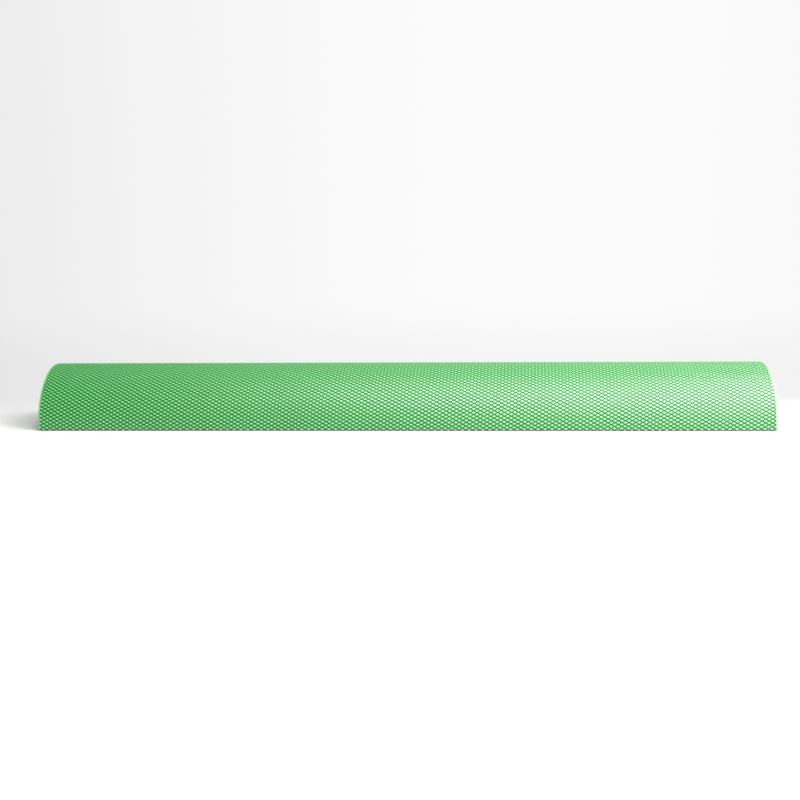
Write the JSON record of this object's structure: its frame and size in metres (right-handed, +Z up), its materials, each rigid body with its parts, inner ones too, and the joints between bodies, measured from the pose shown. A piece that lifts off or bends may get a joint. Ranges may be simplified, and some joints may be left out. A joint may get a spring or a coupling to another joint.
{
  "type": "half round foam roller",
  "caption": "Long half round exercise roller of closed-cell foam: a wound foam core under a diamond-textured skin, flat along its base, with eased end edges.",
  "frame": {"origin": "middle of the flat sawn face that the roller rests on", "axes": "+X along the roller, +Z up through the crown, -Y towards the viewer in the picture"},
  "size_m": [0.9144, 0.1524, 0.0762],
  "materials": {
    "textured_skin": "satin",
    "core_foam": "matte",
    "core_rod": "matte"
  },
  "bodies": {
    "root": {"textured_skin": "textured_skin", "core_wrap_1": "core_foam", "core_wrap_2": "core_foam", "core_wrap_3": "core_foam", "core_wrap_4": "core_foam", "core_wrap_5": "core_foam", "core_wrap_6": "core_foam", "core_wrap_7": "core_foam", "core_rod": "core_rod"}
  },
  "joints": []
}
